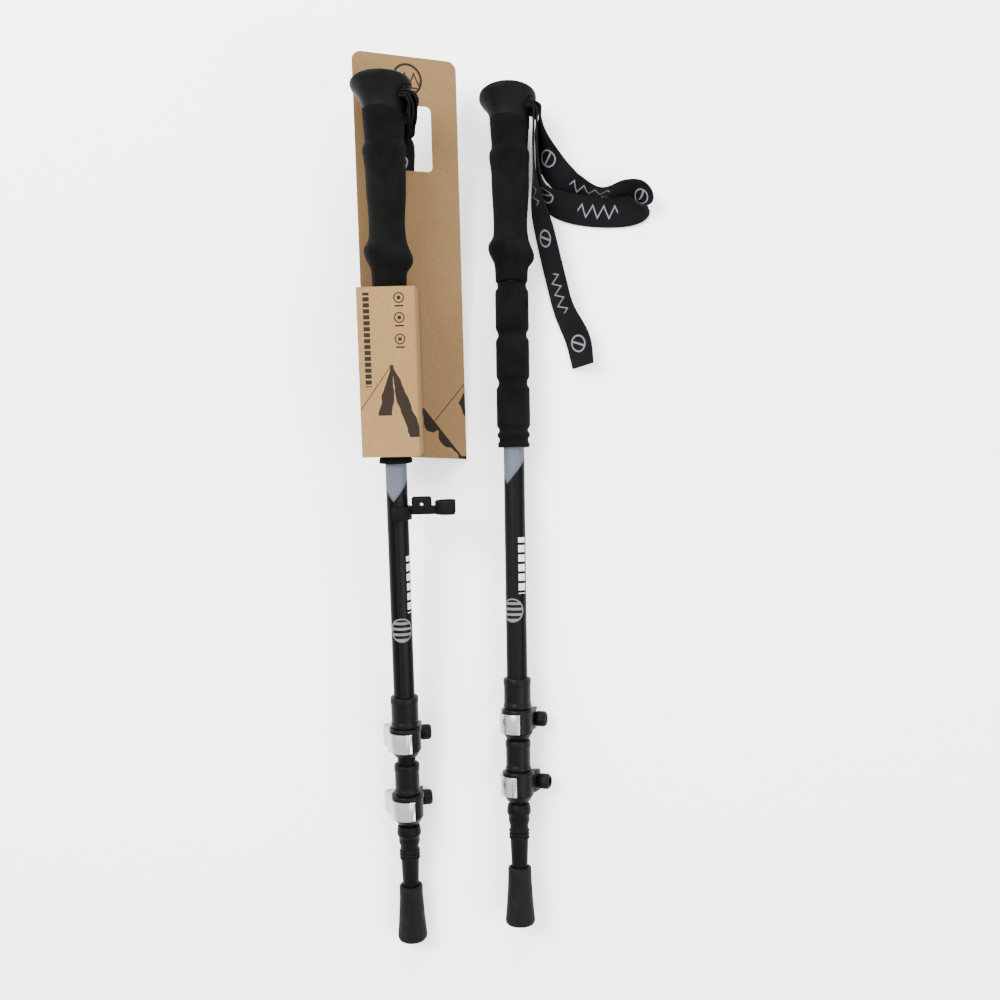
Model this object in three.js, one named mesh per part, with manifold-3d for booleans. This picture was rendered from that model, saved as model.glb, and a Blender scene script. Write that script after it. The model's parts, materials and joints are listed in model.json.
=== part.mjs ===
// A pair of three-section trekking poles with outside flip locks, pushed together and lying on the ground.
// The left pole sits in its folded display card and carries the clip that holds the pair together.
// Millimetres, +Z up. The poles lie along Y with the grips toward +Y.
// Each pole is built in its own frame: origin at the lower end of the foam, y along the pole toward the knob,
// x toward the strap slot, z away from the ground.
import * as THREE from "three";
import { mergeVertices } from "three/addons/utils/BufferGeometryUtils.js";
import Module from "manifold-3d";

const wasm = await Module();
wasm.setup();

// Driving dimensions
const GAP = 0.3;
const ROUND = 16;
const FINE_ROUND = 12;

const UPPER_TUBE = { radius: 8, wall: 0.7, top: 251, bottom: -200 };
const MIDDLE_TUBE = { radius: 7, wall: 0.7, top: 235, bottom: -247.9 };
const LOWER_TUBE = { radius: 6, wall: 0.7, top: 212, bottom: -285.5 };

const HEAD = { foot: 240, neck: 253, top: 272, tilt: 0.2, spigotRadius: 11.5 };
const SLOT = { inner: 2, low: 258, high: 267.5, half: 12.6 };
const GRIP_BOTTOM = 127;
const PIN = { x: 5.2, y: 261.05, radius: 0.85 };

const LOCK = {
  spacing: 47.7,
  sleeveTop: -177,
  tubeEnd: -200.7,
  bandTop: -200.8,
  leverTop: -203.8,
  leverBottom: -218.6,
  bandBottom: -219,
  end: -224,
  collarRadius: 9,
  bandRadius: 11.6,
  flangeRadius: 12.3,
  boltBehind: 14.5,
  boltRadius: 2,
  pivotAcross: -12,
  pivotRadius: 3,
  camRadius: 4.6,
  leverInner: 12.2,
  leverOuter: 14,
  leverEnd: 72.5,
  nutStart: 11.8,
  nutEnd: 20.3,
  nutRadius: 5.9,
};

const STRAP = { width: 23.6, thickness: 1.5, stepsPerSpan: 2 };

const CARD = {
  thickness: 0.8,
  left: -12.6,
  right: 71,
  bottomLeft: 5,
  bottomRight: -3,
  top: 298,
  corner: 7,
  lean: 28.5,
  behind: 24.5,
};
const CARD_SLEEVE = { bottom: 6, top: 127.5, left: -22.7, right: 19.3, front: 17 };
const CARD_WINDOW = { left: 6, right: 49.3, bottom: 215.8, top: 263.3, corner: 4 };

const CLIP = {
  along: -37,
  height: 10,
  halfThickness: 2.2,
  ringOuter: 10.6,
  ringMouth: 140,
  rise: 3.5,
  jawCentre: 37,
  jawInner: 7,
  jawOuter: 9.2,
  jawMouth: 100,
  tabInner: 10.5,
  tabOuter: 25.5,
  tabTop: 12,
  tabHole: 1.2,
};

// Where each pole lies: the foam's lower end, how far the knob end is lifted, and how far the foot swings out
const RIGHT_PLACE = { x: 10.7, y: 40.4, z: 22.5, lift: 0, swing: 0.8 };
const LEFT_PLACE = { x: -76.9, y: 27.2, z: 56.6, lift: 7, swing: 1.4 };

const BLACK_PLASTIC = { color: 0x1c1c1d, roughness: 0.55, metalness: 0 };
const LOCK_PLASTIC = { color: 0x28282b, roughness: 0.42, metalness: 0 };
const FOAM = { color: 0x1a1a18, roughness: 0.95, metalness: 0 };
const RUBBER = { color: 0x1d1d1e, roughness: 0.7, metalness: 0 };
const BLACK_TUBE = { color: 0x121214, roughness: 0.3, metalness: 0.6 };
const SILVER = { color: 0xd2d3d1, roughness: 0.3, metalness: 1 };
const STEEL = { color: 0x8d8f92, roughness: 0.35, metalness: 1 };
const CARBIDE = { color: 0x6b6c70, roughness: 0.25, metalness: 1 };
const WEBBING = { color: 0x28222a, roughness: 0.85, metalness: 0 };
const KRAFT = { color: 0xc5a882, roughness: 0.9, metalness: 0 };

const rad = THREE.MathUtils.degToRad;

function solidOf(geometry) {
  const bare = geometry.clone();
  bare.deleteAttribute("normal");
  bare.deleteAttribute("uv");
  const merged = mergeVertices(bare, 1e-4);
  const triVerts = new Uint32Array(merged.index.array);
  const vertProperties = merged.attributes.position.array;
  return new wasm.Manifold(new wasm.Mesh({ numProp: 3, vertProperties, triVerts }));
}

function geometryOf(solid) {
  const mesh = solid.getMesh();
  const geometry = new THREE.BufferGeometry();
  geometry.setAttribute("position", new THREE.BufferAttribute(new Float32Array(mesh.vertProperties), 3));
  geometry.setIndex(new THREE.BufferAttribute(new Uint32Array(mesh.triVerts), 1));
  return geometry;
}

function joined(...geometries) {
  return geometryOf(geometries.map(solidOf).reduce((whole, next) => whole.add(next)));
}

function cut(geometry, ...tools) {
  return geometryOf(tools.map(solidOf).reduce((whole, next) => whole.subtract(next), solidOf(geometry)));
}

// A solid of revolution about y; the profile runs counter-clockwise as [radius, y]
function turned(profile, segments = ROUND) {
  return new THREE.LatheGeometry(profile.map(([r, y]) => new THREE.Vector2(r, y)), segments);
}

function tube(inner, outer, bottom, top, segments = ROUND) {
  return turned([[outer, bottom], [outer, top], [inner, top], [inner, bottom], [outer, bottom]], segments);
}

function rod(radius, bottom, top, segments = FINE_ROUND) {
  return turned([[0, bottom], [radius, bottom], [radius, top], [0, top]], segments);
}

function block(x0, x1, y0, y1, z0, z1) {
  const box = new THREE.BoxGeometry(x1 - x0, y1 - y0, z1 - z0);
  return box.translate((x0 + x1) / 2, (y0 + y1) / 2, (z0 + z1) / 2);
}

// A rod along x
function crossRod(radius, x0, x1, y, z, segments = FINE_ROUND) {
  return rod(radius, x0, x1, segments).rotateZ(-Math.PI / 2).translate(0, y, z);
}

// An outline in x and z, extruded along y from bottom to top
function slab(shape, bottom, top, curveSegments = 7) {
  const flat = new THREE.ExtrudeGeometry(shape, { depth: top - bottom, bevelEnabled: false, curveSegments });
  return flat.rotateX(Math.PI / 2).translate(0, top, 0);
}

// Moves every vertex sideways by an amount that depends on its place along the pole
function shifted(geometry, amount) {
  const place = geometry.attributes.position;
  for (let i = 0; i < place.count; i += 1) {
    place.setX(i, place.getX(i) + amount(place.getY(i), place.getX(i)));
  }
  return geometry;
}

function part(name, geometry, look) {
  const mesh = new THREE.Mesh(geometry, new THREE.MeshStandardMaterial(look));
  mesh.name = name;
  return mesh;
}

function gripHead() {
  const { foot, neck, top, tilt, spigotRadius } = HEAD;
  const bore = UPPER_TUBE.radius + GAP;
  const body = turned([
    [0, UPPER_TUBE.top + GAP + 0.5], [bore, UPPER_TUBE.top + GAP + 0.5], [bore, foot], [spigotRadius, foot],
    [spigotRadius, neck], [15.4, neck], [15.7, 256], [17.7, 260], [20.4, 264.5], [21.9, 267.8], [22.1, 269.3],
    [21.6, 270.6], [20, top - 0.7], [16, top], [0, top],
  ], 24);
  shifted(body, (y) => -1.3 * THREE.MathUtils.smoothstep(y, foot + 10, top));
  // The crown is set at a slant, higher at the front
  const place = body.attributes.position;
  for (let i = 0; i < place.count; i += 1) {
    const share = THREE.MathUtils.smoothstep(place.getY(i), neck, SLOT.high);
    place.setY(i, place.getY(i) + tilt * share * place.getZ(i));
  }
  const slot = block(SLOT.inner, 30, SLOT.low, SLOT.high, -SLOT.half, SLOT.half);
  const pinHole = rod(PIN.radius + GAP, -15.4, 15.4).rotateX(Math.PI / 2).translate(PIN.x, PIN.y, 0);
  return cut(body, slot, pinHole);
}

function gripFoam() {
  const bore = UPPER_TUBE.radius + GAP;
  const body = turned([
    [bore, GRIP_BOTTOM], [11.6, GRIP_BOTTOM], [12.4, 129], [12.9, 137], [14, 141], [16, 144.5], [17.2, 148.3],
    [17.2, 152.1], [15.9, 156], [14.2, 160], [13.3, 165], [13.1, 175], [13.8, 187], [14.5, 198], [14.5, 210],
    [15.2, 218], [15.5, 224], [14.3, 229], [14.2, 233], [14.9, 244.5], [15.2, 252.7], [11.8, 252.7],
    [11.8, HEAD.foot - GAP], [bore, HEAD.foot - GAP], [bore, GRIP_BOTTOM],
  ]);
  // The lower flange ring is tilted and the front of the palm swell stands out
  return shifted(body, (y, x) => {
    const outer = Math.abs(x) > 11 ? 1 : 0;
    const flange = Math.exp(-(((y - 157) / 5) ** 2)) * -1.1 + Math.exp(-(((y - 144) / 4) ** 2)) * 0.9;
    return outer * (flange - 0.4 * Math.exp(-(((y - 222) / 8) ** 2)));
  });
}

function lowerGripFoam() {
  const bore = UPPER_TUBE.radius + GAP;
  const segmentRadius = 12.8;
  const grooveRadius = 11;
  const grooveHalf = 2.4;
  const profile = [
    [bore, 0], [11.8, 0], [12.2, 2], [11.2, 4.4], [11.2, 7], [12.5, 9.7], [11.2, 12.2], [11.2, 14.5],
  ];
  for (const groove of [49.7, 86.7, 124.3]) {
    const start = profile.at(-1)[1];
    profile.push([segmentRadius, start + 1.5], [segmentRadius, groove - grooveHalf - 0.6]);
    profile.push([grooveRadius, groove - grooveHalf + 0.8], [grooveRadius, groove + grooveHalf - 0.4]);
  }
  profile.push([bore, 126.7], [bore, 0]);
  return turned(profile);
}

function bush(tubeSize, outerRadius) {
  const stem = tubeSize.radius - tubeSize.wall - GAP;
  const { top } = tubeSize;
  return turned([
    [stem - 1.5, top - 9], [stem, top - 9], [stem, top + GAP],
    [outerRadius, top + GAP], [outerRadius, top + 6],
    [stem - 1.5, top + 6], [stem - 1.5, top - 9],
  ], FINE_ROUND);
}

function shaft({ radius, wall, top, bottom }) {
  return tube(radius - wall, radius, bottom, top);
}

// The lock's parts are all drawn for the upper lock; the lower one is the same set, further down the pole
function lockSleeve(outerTube, innerTube, topRadius, bodyRadius) {
  const outerBore = outerTube.radius + GAP;
  const innerBore = innerTube.radius + GAP;
  const { sleeveTop, tubeEnd, collarRadius, bandTop, bandBottom, end } = LOCK;
  const sleeve = turned([
    [innerBore, end], [8.5, end], [collarRadius + 2.2, bandBottom - 0.5], [collarRadius, bandBottom - 0.3],
    [collarRadius, bandTop + 0.2], [bodyRadius + 0.4, bandTop + 0.4], [bodyRadius + 0.4, bandTop + 4],
    [bodyRadius, bandTop + 5], [bodyRadius, sleeveTop - 6],
    [topRadius, sleeveTop - 5], [topRadius, sleeveTop - 1],
    [topRadius - 0.8, sleeveTop], [outerBore, sleeveTop], [outerBore, tubeEnd], [innerBore, tubeEnd],
    [innerBore, end],
  ]);
  const split = block(-0.8, 0.8, end - 1, bandTop - 1, -20, -4);
  return cut(sleeve, split);
}

function lockBand() {
  const { bandTop, bandBottom, leverTop, leverBottom } = LOCK;
  const { collarRadius, bandRadius, flangeRadius, boltBehind } = LOCK;
  const inner = collarRadius + GAP;
  const ring = turned([
    [inner, bandBottom], [bandRadius, bandBottom], [bandRadius, leverTop], [flangeRadius, leverTop + 0.3],
    [flangeRadius, bandTop - 0.6], [flangeRadius - 0.6, bandTop], [inner, bandTop], [inner, bandBottom],
  ]);
  const earBack = -boltBehind - 4.6;
  const rightEar = block(2, 11.5, bandBottom + 0.4, leverTop - 0.2, earBack, -7);
  const leftEar = block(-7.1, -2, bandBottom + 0.4, leverTop - 0.2, earBack, -9.6);
  const boltHeight = (leverTop + leverBottom) / 2;
  const bore = rod(inner, bandBottom - 1, bandTop + 1, ROUND);
  const boltHole = crossRod(LOCK.boltRadius + GAP, -14, 14, boltHeight, -boltBehind);
  const split = block(-2, 2, bandBottom - 1, bandTop + 1, -22, -4);
  return cut(joined(ring, rightEar, leftEar), bore, boltHole, split);
}

function lockLever() {
  const { leverTop, leverBottom, leverInner, leverOuter, leverEnd } = LOCK;
  const { boltBehind, pivotAcross, camRadius } = LOCK;
  const wrap = new THREE.Shape();
  wrap.absarc(0, 0, leverOuter, rad(leverEnd), rad(195), false);
  wrap.lineTo(pivotAcross - camRadius, -boltBehind);
  wrap.lineTo(pivotAcross, -boltBehind + camRadius - 0.2);
  wrap.absarc(0, 0, leverInner, rad(200), rad(leverEnd), true);
  wrap.closePath();
  const cam = new THREE.Shape();
  cam.absarc(pivotAcross, -boltBehind, camRadius, 0, 2 * Math.PI, false);
  const whole = joined(slab(wrap, leverBottom, leverTop), slab(cam, leverBottom, leverTop));
  const pinBore = rod(LOCK.pivotRadius + GAP, leverBottom - 1, leverTop + 1, ROUND)
    .translate(pivotAcross, 0, -boltBehind);
  const middle = (leverTop + leverBottom) / 2;
  const sweep = new THREE.Shape();
  sweep.moveTo(pivotAcross, -boltBehind);
  sweep.absarc(pivotAcross, -boltBehind, camRadius + 1.5, rad(-130), rad(60), false);
  sweep.closePath();
  const boltSlot = slab(sweep, middle - 2.8, middle + 2.8);
  return cut(whole, pinBore, boltSlot);
}

function lockPivot() {
  const { leverTop, leverBottom, pivotAcross, boltBehind, pivotRadius } = LOCK;
  return rod(pivotRadius, leverBottom + 0.4, leverTop - 0.4).translate(pivotAcross, 0, -boltBehind);
}

function lockBolt() {
  const { leverTop, leverBottom, pivotAcross, pivotRadius, boltBehind, boltRadius, nutEnd } = LOCK;
  const height = (leverTop + leverBottom) / 2;
  return crossRod(boltRadius, pivotAcross + pivotRadius + GAP, nutEnd - 3, height, -boltBehind, 16);
}

function lockNut() {
  const { leverTop, leverBottom, nutStart, nutEnd, nutRadius, boltBehind, boltRadius } = LOCK;
  const bore = boltRadius + GAP;
  const height = (leverTop + leverBottom) / 2;
  const nut = turned([
    [bore, nutStart], [nutRadius - 0.6, nutStart], [nutRadius, nutStart + 0.8], [nutRadius, nutEnd - 1.4],
    [nutRadius - 1.2, nutEnd], [3.6, nutEnd], [3.2, nutEnd - 2.2], [bore, nutEnd - 2.2], [bore, nutStart],
  ], 16);
  return nut.rotateZ(-Math.PI / 2).translate(0, height, -boltBehind);
}

function ferrule() {
  const bore = LOWER_TUBE.radius + GAP;
  const seat = LOWER_TUBE.bottom - GAP;
  const profile = [[0, -341], [4.6, -341], [6.2, -320], [6.9, -301]];
  for (const crest of [-299.2, -295.8]) {
    profile.push([7.1, crest - 1.2], [7.9, crest - 0.4], [7.9, crest + 0.4], [7.1, crest + 1.2]);
  }
  profile.push([7.1, -290], [8, -287], [8, -283], [8.7, -281.5], [9.3, -280], [8.6, -275], [8, -273.7]);
  profile.push([bore, -273.7], [bore, seat], [0, seat]);
  return turned(profile, 16);
}

function carbideTip() {
  return turned([[0, -352], [1.4, -351.6], [2.2, -347], [2.2, -341.3], [0, -341.3]], FINE_ROUND);
}

function rubberFoot() {
  return turned([
    [0, -366.5], [8.6, -366.5], [10.6, -365.6], [11.4, -363], [10.8, -357], [9.9, -345], [9.1, -332],
    [9, -322.5], [6.6, -322.5], [6.3, -341], [6, -356], [0, -356],
  ]);
}

// A flat band along a smooth route. Each route point is [place, across], where across runs from the band's lower
// edge to its upper edge.
function strap(route) {
  const vector = ([x, y, z]) => new THREE.Vector3(x, y, z);
  const path = new THREE.CatmullRomCurve3(route.map(([place]) => vector(place)), false, "centripetal");
  const acrossList = route.map(([, across]) => vector(across).normalize());
  const spans = route.length - 1;
  const geometry = new THREE.BoxGeometry(STRAP.width, STRAP.thickness, 1, 1, 1, spans * STRAP.stepsPerSpan);
  const place = geometry.attributes.position;
  for (let i = 0; i < place.count; i += 1) {
    const t = THREE.MathUtils.clamp(place.getZ(i) + 0.5, 0, 1);
    const span = Math.min(Math.floor(t * spans), spans - 1);
    const along = path.getTangent(t);
    const across = acrossList[span].clone().lerp(acrossList[span + 1], t * spans - span);
    across.addScaledVector(along, -across.dot(along)).normalize();
    const out = new THREE.Vector3().crossVectors(along, across);
    const point = path.getPoint(t);
    point.addScaledVector(across, place.getX(i)).addScaledVector(out, place.getY(i));
    place.setXYZ(i, point.x, point.y, point.z);
  }
  return geometry;
}

// Both straps enter the slot three times: the free tail goes in, round the pin and out as the hand loop, and the
// loop's far end comes back in between
const UPRIGHT = [0, 0, 1];
const SLOT_TURN = [
  [[18.7, 256.6, 0], UPRIGHT], [[16.4, 259.15, 0], UPRIGHT], [[9.5, 259.15, 0], UPRIGHT],
  [[5.2, 259.15, 0], UPRIGHT], [[3.3, 261.05, 0], UPRIGHT], [[5.2, 262.95, 0], UPRIGHT],
  [[10, 262.95, 0], UPRIGHT], [[17.5, 262.95, 0], UPRIGHT],
];
const LOOP_END = [[[18.4, 260.6, 0], UPRIGHT], [[14.5, 261.05, 0], UPRIGHT], [[9, 261.05, 0], UPRIGHT]];

// The right strap lies spread on the ground, tail first and then the hand loop
const RIGHT_STRAP_ROUTE = [
  [[55, 63.5, -12.2], [0.62, 0.2, 0.76]], [[51.2, 84.4, -12.5], [0.74, 0.2, 0.64]],
  [[40.7, 107.6, -11.5], [0.58, 0.2, 0.79]], [[34.7, 131, -11.5], [0.57, 0.17, 0.8]],
  [[25.9, 170, -10.5], [0.53, 0.15, 0.83]], [[20.6, 192, -8], [0.3, 0.1, 0.95]],
  [[18.6, 215, -5], UPRIGHT], [[18.3, 240, -2], UPRIGHT],
  ...SLOT_TURN,
  [[23.4, 260, -0.5], UPRIGHT], [[23.4, 252, -1.5], [0.05, 0, 1]], [[24.6, 243, -4], [0.2, 0.1, 0.97]],
  [[27.6, 232, -7.2], [0.42, 0.3, 0.85]], [[33, 220, -9.5], [0.6, 0.5, 0.62]],
  [[41, 210, -10.5], [0.5, 0.65, 0.57]], [[52, 203, -10.3], [0.2, 0.5, 0.84]], [[70, 198.5, -9.3], UPRIGHT],
  [[88, 201, -10], [-0.05, 0.3, 0.95]], [[99, 199.5, -10.8], [0.2, 0.45, 0.87]],
  [[103.5, 192, -12.6], [0.35, 0.6, 0.72]], [[97, 186, -15.9], [0.2, 0.88, 0.43]],
  [[78, 184.5, -17.6], [0, 0.96, 0.28]], [[52, 186.5, -15.5], [0.05, 0.87, 0.47]],
  [[34, 192, -12], [0.33, 0.5, 0.74]], [[24.5, 204, -9.5], [0.1, 0, 1]], [[21.2, 222, -6], UPRIGHT],
  [[20.6, 244, -2], UPRIGHT], [[21.1, 255, 0], UPRIGHT],
  ...LOOP_END,
];

// The left strap wraps under the grip and goes through the card's window to hang folded behind the card
const BEHIND_CARD = [0.879, 0, -0.477];
const UNDER_HEAD = [0.32, 0, 0.95];
const UNDER_GRIP = [0.7, 0, 0.714];
const LEFT_STRAP_ROUTE = [
  [[7, 118, -34.5], BEHIND_CARD], [[7, 160, -34.5], BEHIND_CARD], [[7, 205, -34.6], BEHIND_CARD],
  [[7.2, 217, -34.1], BEHIND_CARD], [[7.4, 222.5, -30], [0.9, 0, -0.43]], [[7.2, 230, -22.5], [0.98, 0, -0.2]],
  [[6.4, 237.5, -18.3], [0.97, 0, 0.24]], [[12.2, 245.5, -14.5], UNDER_GRIP], [[17.4, 251.5, -6], UNDER_HEAD],
  ...SLOT_TURN,
  [[23.4, 260, -0.5], UPRIGHT], [[21.9, 252, -7.5], UNDER_HEAD], [[15.4, 245.5, -17.5], UNDER_GRIP],
  [[7.4, 237.5, -22.9], [0.97, 0, 0.24]], [[7.8, 230, -28.5], [0.98, 0, -0.2]],
  [[7.6, 222.5, -36.1], [0.9, 0, -0.43]], [[7.2, 214, -39.2], BEHIND_CARD], [[7, 205, -39.5], BEHIND_CARD],
  [[6.6, 160, -39.8], BEHIND_CARD], [[6.2, 100, -40.1], BEHIND_CARD], [[6.2, 78, -40.1], BEHIND_CARD],
  [[7, 72.3, -38.6], BEHIND_CARD], [[7.8, 78, -37.1], BEHIND_CARD], [[7.8, 100, -37.1], BEHIND_CARD],
  [[7.6, 160, -37], BEHIND_CARD], [[7.4, 205, -37], BEHIND_CARD], [[7.4, 216, -36.6], BEHIND_CARD],
  [[7.5, 222.3, -33.1], [0.9, 0, -0.43]], [[7.5, 230, -25.5], [0.98, 0, -0.2]],
  [[6.9, 237.5, -20.6], [0.97, 0, 0.24]], [[13.8, 245.5, -16], UNDER_GRIP], [[19.7, 251.7, -6.8], UNDER_HEAD],
  [[21.1, 256, -1], UPRIGHT],
  ...LOOP_END,
];

function strapPin() {
  return rod(PIN.radius, -15, 15).rotateX(Math.PI / 2).translate(PIN.x, PIN.y, 0);
}

function strapWedge() {
  return block(9, 17, 264.1, 267.2, -11, 11);
}

function lockGroup(side, level, roll, drop, sleeve) {
  const group = new THREE.Group();
  group.position.y = -drop;
  group.rotation.y = rad(-roll);
  const name = (piece) => `${level}_lock_${piece}_${side}`;
  group.add(part(name("sleeve"), sleeve, LOCK_PLASTIC));
  group.add(part(name("band"), lockBand(), LOCK_PLASTIC));
  group.add(part(name("lever"), lockLever(), SILVER));
  group.add(part(name("pivot"), lockPivot(), STEEL));
  group.add(part(name("bolt"), lockBolt(), STEEL));
  group.add(part(name("nut"), lockNut(), LOCK_PLASTIC));
  return group;
}

// extra is how far the middle section stands out of the upper one
function pole(side, place, rolls, route, extra) {
  const whole = new THREE.Group();
  whole.position.set(place.x, place.y, place.z);
  whole.rotation.set(rad(place.lift), 0, rad(place.swing), "ZXY");
  whole.add(part(`grip_head_${side}`, gripHead(), BLACK_PLASTIC));
  whole.add(part(`grip_foam_${side}`, gripFoam(), FOAM));
  whole.add(part(`lower_grip_foam_${side}`, lowerGripFoam(), FOAM));
  whole.add(part(`strap_${side}`, strap(route), WEBBING));
  whole.add(part(`strap_pin_${side}`, strapPin(), STEEL));
  whole.add(part(`strap_wedge_${side}`, strapWedge(), BLACK_PLASTIC));
  whole.add(part(`upper_shaft_${side}`, shaft(UPPER_TUBE), BLACK_TUBE));
  whole.add(lockGroup(side, "upper", rolls.upper, 0, lockSleeve(UPPER_TUBE, MIDDLE_TUBE, 10.6, 10.3)));

  const inner = new THREE.Group();
  inner.position.y = -extra;
  inner.add(part(`middle_shaft_${side}`, shaft(MIDDLE_TUBE), BLACK_TUBE));
  inner.add(part(`middle_bush_${side}`, bush(MIDDLE_TUBE, 7.15), BLACK_PLASTIC));
  const lowerSleeve = lockSleeve(MIDDLE_TUBE, LOWER_TUBE, 9.7, 9.35);
  inner.add(lockGroup(side, "lower", rolls.lower, LOCK.spacing, lowerSleeve));
  inner.add(part(`lower_shaft_${side}`, shaft(LOWER_TUBE), BLACK_TUBE));
  inner.add(part(`lower_bush_${side}`, bush(LOWER_TUBE, 6.15), BLACK_PLASTIC));
  inner.add(part(`tip_ferrule_${side}`, ferrule(), BLACK_PLASTIC));
  inner.add(part(`carbide_tip_${side}`, carbideTip(), CARBIDE));
  inner.add(part(`rubber_foot_${side}`, rubberFoot(), RUBBER));
  whole.add(inner);
  return whole;
}

// A triangle from a jaw's middle out past its wall, for cutting the mouth of that jaw; way is 1 or -1 along x
function mouthShape(centre, outer, opening, way) {
  const reach = outer + 4;
  const across = centre + way * reach * Math.cos(rad(opening / 2));
  const away = reach * Math.sin(rad(opening / 2));
  const shape = new THREE.Shape();
  shape.moveTo(centre, 0);
  shape.lineTo(across, away);
  shape.lineTo(centre + way * reach * 1.6, 0);
  shape.lineTo(across, -away);
  shape.closePath();
  return shape;
}

// An open ring on the left shaft, a bridge with a tab, and a jaw for the other pole's shaft
function poleClip() {
  const { height, halfThickness, ringOuter, ringMouth, rise, jawCentre, jawInner, jawOuter, jawMouth } = CLIP;
  const half = height / 2;
  const ring = rod(ringOuter, -half, half, ROUND);
  const bridge = block(8, jawCentre - jawInner - 0.6, rise - half, half, -halfThickness, halfThickness);
  const tab = block(CLIP.tabInner, CLIP.tabOuter, rise - half, CLIP.tabTop, -halfThickness, halfThickness);
  const tabHole = rod(CLIP.tabHole, -height, height, 12).rotateX(Math.PI / 2);
  tabHole.translate((CLIP.tabInner + CLIP.tabOuter) / 2, half + 1, 0);
  const jaw = rod(jawOuter, rise - half, rise + half, ROUND).translate(jawCentre, 0, 0);
  const shaftBore = rod(UPPER_TUBE.radius + GAP, -height, height, ROUND);
  const jawBore = rod(jawInner, -height, 2 * height, ROUND).translate(jawCentre, 0, 0);
  const ringGap = slab(mouthShape(0, ringOuter, ringMouth, -1), -height, height);
  const jawGap = slab(mouthShape(jawCentre, jawOuter, jawMouth, 1), -height, 2 * height);
  const clip = cut(joined(ring, bridge, tab, jaw), shaftBore, jawBore, tabHole, ringGap, jawGap);
  return clip.translate(0, CLIP.along, 0);
}

function roundedRectangle(shape, left, right, low, high, corner) {
  shape.moveTo(left + corner, low);
  shape.absarc(right - corner, low + corner, corner, -Math.PI / 2, 0, false);
  shape.absarc(right - corner, high - corner, corner, 0, Math.PI / 2, false);
  shape.absarc(left + corner, high - corner, corner, Math.PI / 2, Math.PI, false);
  shape.absarc(left + corner, low + corner, corner, Math.PI, 1.5 * Math.PI, false);
  return shape;
}

// The back panel leans about the pole; the folded sleeve wraps the lower grip in front of it
function displayCard() {
  const { thickness, left, right, top, corner, lean, behind } = CARD;
  const panelShape = new THREE.Shape();
  panelShape.moveTo(left, CARD.bottomLeft);
  panelShape.lineTo(right, CARD.bottomRight);
  panelShape.absarc(right - corner, top - corner, corner, 0, Math.PI / 2, false);
  panelShape.absarc(left + corner, top - corner, corner, Math.PI / 2, Math.PI, false);
  panelShape.closePath();
  const hole = CARD_WINDOW;
  const window = roundedRectangle(
    new THREE.Path(), hole.left, hole.right, hole.bottom, hole.top, hole.corner,
  );
  panelShape.holes.push(window);
  const panelForm = { depth: thickness, bevelEnabled: false, curveSegments: 5 };
  const panel = new THREE.ExtrudeGeometry(panelShape, panelForm);
  panel.translate(0, 0, -behind - thickness).rotateY(rad(lean));

  const edge = CARD_SLEEVE;
  const panelHeight = (x) => -behind / Math.cos(rad(lean)) - x * Math.tan(rad(lean)) - thickness / 2;
  const fold = new THREE.Shape();
  fold.moveTo(edge.left, panelHeight(edge.left));
  fold.lineTo(edge.left, edge.front);
  fold.lineTo(edge.right, edge.front);
  fold.lineTo(edge.right, panelHeight(edge.right));
  fold.lineTo(edge.right - thickness, panelHeight(edge.right - thickness));
  fold.lineTo(edge.right - thickness, edge.front - thickness);
  fold.lineTo(edge.left + thickness, edge.front - thickness);
  fold.lineTo(edge.left + thickness, panelHeight(edge.left + thickness));
  fold.closePath();
  return joined(panel, slab(fold, edge.bottom, edge.top));
}

const leftPole = pole("l", LEFT_PLACE, { upper: -7, lower: -10 }, LEFT_STRAP_ROUTE, 5.3);
leftPole.add(part("pole_clip", poleClip(), BLACK_PLASTIC));
leftPole.add(part("display_card", displayCard(), KRAFT));
const rightPole = pole("r", RIGHT_PLACE, { upper: 12, lower: 24 }, RIGHT_STRAP_ROUTE, 0);

// The origin is the middle of the ground under the whole set
const poles = new THREE.Group();
poles.add(leftPole, rightPole);
poles.updateMatrixWorld(true);
const extent = new THREE.Box3().setFromObject(poles, true);
const middle = extent.getCenter(new THREE.Vector3());
poles.position.set(-middle.x, -middle.y, -extent.min.z);

export default poles;
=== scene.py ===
import json
import math

import bpy
from mathutils import Matrix, Vector


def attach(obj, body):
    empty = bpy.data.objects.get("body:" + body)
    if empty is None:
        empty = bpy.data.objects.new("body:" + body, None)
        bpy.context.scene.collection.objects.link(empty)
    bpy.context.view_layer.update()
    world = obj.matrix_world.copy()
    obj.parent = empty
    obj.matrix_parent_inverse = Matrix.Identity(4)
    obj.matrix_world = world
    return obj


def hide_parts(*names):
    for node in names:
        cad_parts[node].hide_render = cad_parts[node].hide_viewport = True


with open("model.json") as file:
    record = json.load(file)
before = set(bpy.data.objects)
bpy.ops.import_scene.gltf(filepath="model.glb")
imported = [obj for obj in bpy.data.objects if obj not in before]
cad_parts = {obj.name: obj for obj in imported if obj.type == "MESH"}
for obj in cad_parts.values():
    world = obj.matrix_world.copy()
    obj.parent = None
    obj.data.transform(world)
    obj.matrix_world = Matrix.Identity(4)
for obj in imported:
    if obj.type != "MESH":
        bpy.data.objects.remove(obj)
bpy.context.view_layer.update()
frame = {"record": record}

# Every outline below is in millimetres, in a pole's own frame: y runs along the pole toward the knob from the
# foam's lower end, x toward the strap slot and z up. MM turns it into the frame's metres. The materials' own
# coordinates are in metres.
MM = 0.001
JOINTS = {joint["name"]: joint for joint in frame["record"]["behaviour"]["joints"]}
MOUNTS = {mount["name"]: mount for mount in frame["record"]["mounts"]}

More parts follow.
